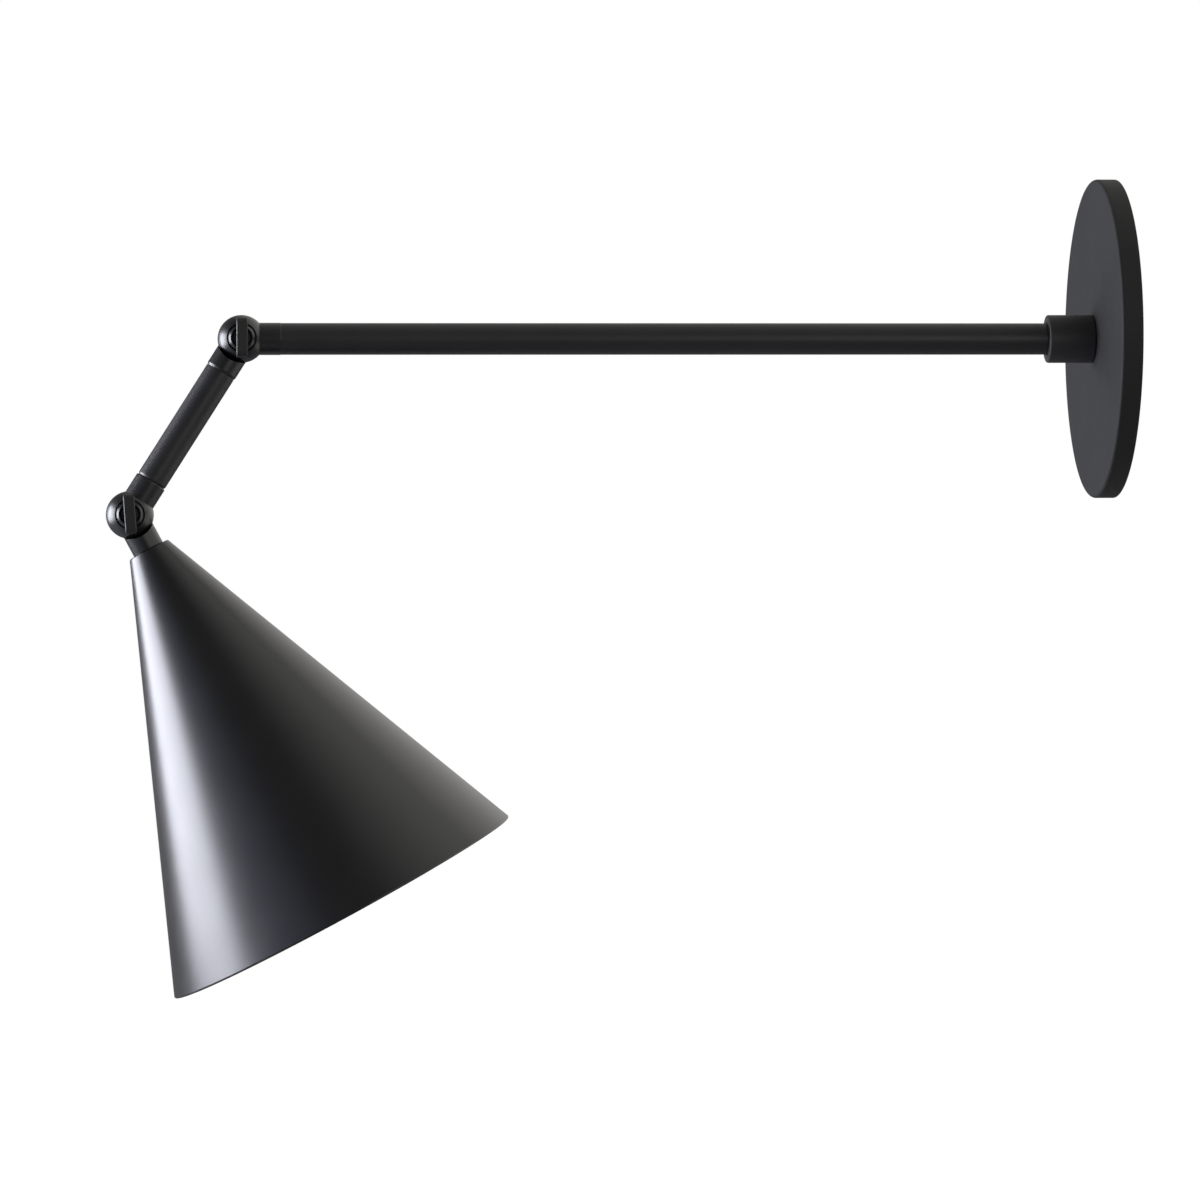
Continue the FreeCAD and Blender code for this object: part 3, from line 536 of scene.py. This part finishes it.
for node_name, pivot, left_at in (("elbow_key", elbow, 0.0), ("head_key", head_pivot, HEAD_KEY_TURN)):
    disc_mesh = lathe(node_name + "_disc", rounded([
        (0, SHANK_END_MM, 0), (SHANK_RADIUS_MM, SHANK_END_MM, 0.4), (SHANK_RADIUS_MM, DISC_UNDER_MM, 0.2),
        (DISC_RADIUS_MM, DISC_UNDER_MM, 0.2), (DISC_RADIUS_MM, DISC_RIM_MM, 0.5),
        (DISC_RADIUS_MM - BEVEL_MM, DISC_TOP_MM, 0.3),
        (DISC_RADIUS_MM - BEVEL_MM - LIP_MM, DISC_TOP_MM, 0.15),
        (DISC_RADIUS_MM - BEVEL_MM - LIP_MM - DISH_MM, DISC_TOP_MM - DISH_MM, 0.4),
        (0, DISC_TOP_MM - DISH_MM, 0)]), segments=128)
    stand(disc_mesh, pivot, (1, 0, 0))
    shown_piece(disc_mesh, knuckle_paint, node_name, node_name)
    bar_side = rounded([
        (-BAR_HALF_MM, BAR_BASE_MM, BAR_FOOT_MM), (BAR_HALF_MM, BAR_BASE_MM, BAR_FOOT_MM),
        (BAR_HALF_MM, BAR_FACE_MM, BAR_CORNER_MM), (-BAR_HALF_MM, BAR_FACE_MM, BAR_CORNER_MM)])
    half = BAR_WIDTH_MM / 2
    count = len(bar_side)
    corners = [(x, y, z) for y in (-half, half) for x, z in bar_side]
    walls = [(k, (k + 1) % count, count + (k + 1) % count, count + k) for k in range(count)]
    bar_mesh = bpy.data.meshes.new(node_name + "_bar")
    ends = [tuple(reversed(range(count))), tuple(range(count, 2 * count))]
    bar_mesh.from_pydata(corners, [], ends + walls)
    bar_mesh.transform(Matrix.Rotation(left_at, 4, "Z"))
    stand(bar_mesh, pivot, (1, 0, 0))
    bar = shown_piece(bar_mesh, key_bar_paint, node_name)
    broken = bar.modifiers.new("broken_edges", "BEVEL")
    broken.width = BAR_EDGE_MM * MM
    broken.segments = 2
    broken.profile = 0.35
    broken.limit_method = "ANGLE"
    broken.angle_limit = math.radians(60)
    # The edges are broken before the shading is evened out.
    bar.modifiers.move(1, 0)


# ------------------------------------------------------------------ link tube
# Short length of drawn steel tube between the two knuckles, powder coated like the arm. Its upper end is only
# broken and its lower end is drawn in over a millimetre, for the glint where it meets each neck.
LINK_RADIUS_MM = 6.2
LINK_END_MM = 1.0             # length of the lower end that is drawn in
LINK_END_DEPTH_MM = 0.38
LINK_EDGE_MM = 0.3
link_length_mm = (head_pivot - elbow).length / MM - 2 * NECK_REACH_MM
link_mesh = lathe("link_tube", rounded([
    (TUBE_BORE_MM, 0, 0.15), (LINK_RADIUS_MM, 0, LINK_EDGE_MM),
    (LINK_RADIUS_MM, link_length_mm - LINK_END_MM, LINK_END_MM * END_ROUND),
    (LINK_RADIUS_MM - LINK_END_DEPTH_MM, link_length_mm, 0.15),
    (TUBE_BORE_MM, link_length_mm, 0.15)]), segments=128)
stand(link_mesh, elbow + link_axis * NECK_REACH_MM * MM, link_axis)
shown_piece(link_mesh, tube_paint, "link", "link_tube")


# ------------------------------------------------------------------ shade
# Cone spun from one steel disc over a former and trimmed at the rim, painted inside and out. It hangs on the
# lamp pipe between the neck and a washer and nut.
SHADE_TOP_RADIUS_MM = 8.6
SHADE_RIM_RADIUS_MM = 76.0
SHADE_HEIGHT_MM = 162.4
SHADE_WALL_MM = 1.0
SHADE_CORNER_MM = 0.9         # round between the flat top and the cone
SHADE_RIM_ROUND_MM = 0.6
shade_top = head_pivot + shade_axis * NECK_REACH_MM * MM

# Satin black paint: smoother than the powder coat, so the soft box shows as one bright band with a soft edge.
shade_paint = finish("satin_black_paint_on_spun_cone", "#0f0f10", "#131314", patch_mm=18,
                     roughness=0.33, wander=0.012, grain_mm=0.5, grain_height_mm=0.004, IOR=1.5)
slope = (SHADE_RIM_RADIUS_MM - SHADE_TOP_RADIUS_MM) / SHADE_HEIGHT_MM
across_mm = SHADE_WALL_MM / math.cos(math.atan(slope))       # the wall, measured square to the axis
shade_mesh = lathe("cone_shade", rounded([
    (PIPE_HOLE_MM, 0, 0.1), (SHADE_TOP_RADIUS_MM, 0, SHADE_CORNER_MM),
    (SHADE_RIM_RADIUS_MM, SHADE_HEIGHT_MM, SHADE_RIM_ROUND_MM),
    (SHADE_RIM_RADIUS_MM - across_mm, SHADE_HEIGHT_MM, 0.3),
    (SHADE_TOP_RADIUS_MM + slope * SHADE_WALL_MM - across_mm, SHADE_WALL_MM, 0.6),
    (PIPE_HOLE_MM, SHADE_WALL_MM, 0.1)]), segments=320)
stand(shade_mesh, shade_top, shade_axis)
shown_piece(shade_mesh, shade_paint, "head", "shade")


# ------------------------------------------------------------------ lampholder
# Under the shade's nut hangs a medium screw lampholder: an enamelled steel cap, a moulded phenolic body with
# finger ribs and a lip, a brass screw shell and a sprung brass contact. Heights are below the shade's top.
def in_shade(mesh, material, node, sharp=35):
    """Hangs a millimetre mesh along the shade's axis, with its origin at the shade's top."""
    stand(mesh, shade_top, shade_axis)
    shown_piece(mesh, material, "head", node, sharp=sharp)


SHADE_PIPE_START_MM = -5.7
SHADE_PIPE_END_MM = 14.0
pipe_mesh = threaded("shade_lamp_pipe", PIPE_CREST_MM, PIPE_ROOT_MM, PIPE_PITCH_MM,
                     SHADE_PIPE_END_MM - SHADE_PIPE_START_MM, PIPE_BORE_MM, PIPE_LEAD_IN_MM)
pipe_mesh.transform(Matrix.Translation((0, 0, SHADE_PIPE_START_MM)))
in_shade(pipe_mesh, zinc_plate, "shade_pipe", sharp=60)

HOLDER_RADIUS_MM = 16.2
HOLDER_WALL_MM = 2.4
HOLDER_HUB_MM = 8.0
CAP_TOP_MM = 9.5
CAP_SHOULDER_MM = 14.0
CAP_SKIRT_MM = 22.5
CAP_END_MM = 31.0
CAP_SHOULDER_ROUND_MM = 2.2
# Stove enamel on the pressed cap: black, even, with a low sheen.
holder_paint = finish("black_stove_enamel", "#161616", "#1c1c1c", patch_mm=8,
                      roughness=0.4, wander=0.03, grain_mm=0.3, grain_height_mm=0.004, IOR=1.5)
cap_mesh = lathe("holder_cap", rounded([
    (TUBE_BORE_MM, CAP_TOP_MM, 0.2), (HOLDER_HUB_MM, CAP_TOP_MM, 0.6),
    (HOLDER_HUB_MM, CAP_SHOULDER_MM, 0.8), (HOLDER_RADIUS_MM, CAP_SKIRT_MM, CAP_SHOULDER_ROUND_MM),
    (HOLDER_RADIUS_MM, CAP_END_MM, 0.3), (HOLDER_RADIUS_MM - HOLDER_WALL_MM, CAP_END_MM, 0.2),
    (HOLDER_RADIUS_MM - HOLDER_WALL_MM, CAP_SKIRT_MM + 1.0, 0.6),
    (HOLDER_HUB_MM - 1.0, CAP_SHOULDER_MM + HOLDER_WALL_MM, 0.6),
    (TUBE_BORE_MM, CAP_SHOULDER_MM + HOLDER_WALL_MM, 0.2)]), segments=128)
in_shade(cap_mesh, holder_paint, "holder_cap")

HOLDER_MOUTH_MM = 58.0
LIP_WIDTH_MM = 1.2
LIP_DEPTH_MM = 2.6
HOLDER_BORE_MM = 13.8
HOLDER_SPIGOT_MM = 13.7
HOLDER_UNDERSIDE_MM = 27.75
HOLDER_FLOOR_MM = 30.15
RIB_COUNT = 60
RIB_DEPTH_MM = 0.35
RIB_START_MM = CAP_END_MM + 1.5
RIB_END_MM = HOLDER_MOUTH_MM - LIP_DEPTH_MM - 1.5
# Phenolic moulding: brown-black, dull where the mould was matte, with faint flow marks in the resin.
phenolic = finish("moulded_black_phenolic", "#121110", "#1d1a18", patch_mm=5,
                  roughness=0.42, wander=0.06, grain_mm=0.4, grain_height_mm=0.01, IOR=1.6)


def finger_ribs(radius, height, angle):
    """Shallow flutes round the outside of the body, between the cap and the lip."""
    if abs(radius - HOLDER_RADIUS_MM) > 0.01 or not RIB_START_MM < height < RIB_END_MM:
        return radius
    return radius - RIB_DEPTH_MM * (0.5 + 0.5 * math.cos(RIB_COUNT * angle))


lip_start = HOLDER_MOUTH_MM - LIP_DEPTH_MM
rib_rows_mm = (CAP_END_MM + 1.4, CAP_END_MM + 2.2, lip_start - 2.2, lip_start - 1.4)
side_mm = [(HOLDER_RADIUS_MM, height) for height in rib_rows_mm]
lower_mm = rounded([
    (HOLDER_RADIUS_MM, lip_start, 0.25), (HOLDER_RADIUS_MM + LIP_WIDTH_MM, lip_start, 0.5),
    (HOLDER_RADIUS_MM + LIP_WIDTH_MM, HOLDER_MOUTH_MM, 0.8), (HOLDER_BORE_MM, HOLDER_MOUTH_MM, 0.3),
    (HOLDER_BORE_MM, HOLDER_FLOOR_MM, 0), (0, HOLDER_FLOOR_MM, 0), (0, HOLDER_UNDERSIDE_MM, 0),
    (HOLDER_SPIGOT_MM, HOLDER_UNDERSIDE_MM, 0.3), (HOLDER_SPIGOT_MM, CAP_END_MM, 0),
    (HOLDER_RADIUS_MM, CAP_END_MM, 0.2)])
body_mesh = lathe("holder_body", lower_mm + side_mm, segments=480, grip=finger_ribs)
in_shade(body_mesh, phenolic, "holder_body")

# Drawn brass: warm yellow, with fine marks that run round the shell.
shell_brass = finish("drawn_brass", "#b98f45", "#cda75a", patch_mm=4,
                     roughness=0.28, wander=0.05, grain_mm=0.15, grain_height_mm=0.003,
                     stretch=(1, 1, 5), Metallic=1.0)
dress(shell_brass, "screw_shell", "holder_contact")


# ------------------------------------------------------------------ bulb
# Medium screw bulb with a round frosted envelope, screwed into the lampholder. Its cap is pressed aluminium
# with a rolled thread, and black glass insulates its tip.
BULB_CAP_RADIUS_MM = 13.1
BULB_CAP_ROOT_MM = 12.3
BULB_CAP_PITCH_MM = 3.63
BULB_CAP_START_MM = 35.5
BULB_CAP_TAPER_MM = 3.0
BULB_CAP_END_MM = 58.5
# Aluminium: pale, soft metal, satin from the press.
bulb_aluminium = finish("pressed_aluminium", "#bfc1c3", "#d2d3d4", patch_mm=4,
                        roughness=0.33, wander=0.05, grain_mm=0.2, grain_height_mm=0.003, Metallic=1.0)
# Black glass insulator: glossy and very dark, with a hint of violet.
tip_insulator = finish("black_insulating_glass", "#0c0b0f", "#15131a", patch_mm=3,
                       roughness=0.1, wander=0.02, grain_mm=0.5, grain_height_mm=0.002, IOR=1.5)
# Etched glass: milky and even, the inside etch spreads the light and the outside keeps a clean sheen.
frosted_glass = finish("etched_glass", "#eceae6", "#f3f2ee", patch_mm=20,
                       roughness=0.2, wander=0.02, grain_mm=0.3, grain_height_mm=0.002, IOR=1.52,
                       Subsurface_Weight=0.35, Subsurface_Scale=0.004, Subsurface_Radius=(1.0, 0.95, 0.9))
bulb_cap_mesh = threaded("bulb_cap", BULB_CAP_RADIUS_MM, BULB_CAP_ROOT_MM, BULB_CAP_PITCH_MM,
                         BULB_CAP_END_MM - BULB_CAP_START_MM, bore_mm=0,
                         lead_in_mm=BULB_CAP_TAPER_MM, segments=96)
bulb_cap_mesh.transform(Matrix.Translation((0, 0, BULB_CAP_START_MM)))
in_shade(bulb_cap_mesh, bulb_aluminium, "bulb_cap", sharp=60)
dress(tip_insulator, "bulb_contact")

GLOBE_RADIUS_MM = 30.0
GLOBE_CROWN_MM = 137.4
GLOBE_STEPS = 48
GLASS_MM = 0.8
THROAT_MM = 13.4
THROAT_START_MM = 58.55
globe_middle = GLOBE_CROWN_MM - GLOBE_RADIUS_MM


def envelope(inset):
    """(radius, height) points from the throat, along the taper that touches the ball, to the crown."""
    ball = GLOBE_RADIUS_MM - inset
    throat = THROAT_MM - inset
    gap = math.hypot(throat, globe_middle - THROAT_START_MM)
    touch = math.atan2(THROAT_START_MM - globe_middle, throat) + math.acos(ball / gap)
    points = [(throat, THROAT_START_MM)]
    for k in range(GLOBE_STEPS):
        angle = touch + (math.pi / 2 - touch) * k / GLOBE_STEPS
        points.append((ball * math.cos(angle), globe_middle + ball * math.sin(angle)))
    return points + [(0.0, globe_middle + ball)]


globe_mesh = lathe("bulb_globe", envelope(0) + envelope(GLASS_MM)[::-1], segments=192)
in_shade(globe_mesh, frosted_glass, "bulb_globe", sharp=60)


# ------------------------------------------------------------------ leads
# Two stranded copper leads in soft plastic sheaths run inside the tubes, black for live and white for
# neutral. At the wall their sheaths are stripped back, ready for the wall box.

# Soft PVC: a slightly waxy sheen and a faint drag from the extruder along each lead.
black_pvc, white_pvc = [
    finish(name, deep, pale, patch_mm=6, roughness=0.4, wander=0.04, grain_mm=0.3, grain_height_mm=0.01,
           stretch=(1, 0.2, 1), IOR=1.53)
    for name, deep, pale in (("black_pvc_sheath", "#141414", "#1c1c1c"),
                             ("white_pvc_sheath", "#d9d8d3", "#e4e3df"))]
# Bare copper: bright orange-red, with lengthwise strokes of about 0.2 mm for its thin strands.
copper = finish("stranded_copper", "#b4683f", "#d08a5c", patch_mm=0.4,
                roughness=0.3, wander=0.06, grain_mm=0.2, grain_height_mm=0.02,
                stretch=(1, 0.1, 1), Metallic=1.0)
dress(black_pvc, "link_lead_black", "shade_lead_black")
dress(white_pvc, "link_lead_white", "shade_lead_white")

STRIPPED_MM = 4.0
STRANDS_RADIUS_MM = 0.6
STRANDS_END_MM = STRIPPED_MM + 2      # a little way into the sheath
STRAND_COUNT = 7                      # coarser than real, a lead has more and thinner strands


def strand_twist(radius, height, angle):
    """Lobes round the bare end, one for each strand, with a slow twist."""
    return radius * (0.93 + 0.07 * math.cos(STRAND_COUNT * angle + height))


for node_name, sheath in (("arm_lead_black", black_pvc), ("arm_lead_white", white_pvc)):
    low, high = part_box(node_name)
    start = Vector(((low[0] + high[0]) / 2, high[1], (low[2] + high[2]) / 2))
    lead_radius_mm = (high[0] - low[0]) / 2 / MM
    lead_length_mm = (high[1] - low[1]) / MM
    sheath_mesh = lathe(node_name + "_sheath", rounded([
        (STRANDS_RADIUS_MM, STRIPPED_MM, 0), (lead_radius_mm, STRIPPED_MM, 0.1),
        (lead_radius_mm, lead_length_mm, 0.1), (STRANDS_RADIUS_MM, lead_length_mm, 0)]), segments=32)
    stand(sheath_mesh, start, OFF_WALL)
    shown_piece(sheath_mesh, sheath, "wall_mount", node_name)
    strands_mesh = lathe(node_name + "_strands", rounded([
        (0, 0, 0), (STRANDS_RADIUS_MM, 0, 0.15), (STRANDS_RADIUS_MM, STRANDS_END_MM, 0),
        (0, STRANDS_END_MM, 0)]), segments=56, grip=strand_twist)
    stand(strands_mesh, start, OFF_WALL)
    shown_piece(strands_mesh, copper, "wall_mount", sharp=60)
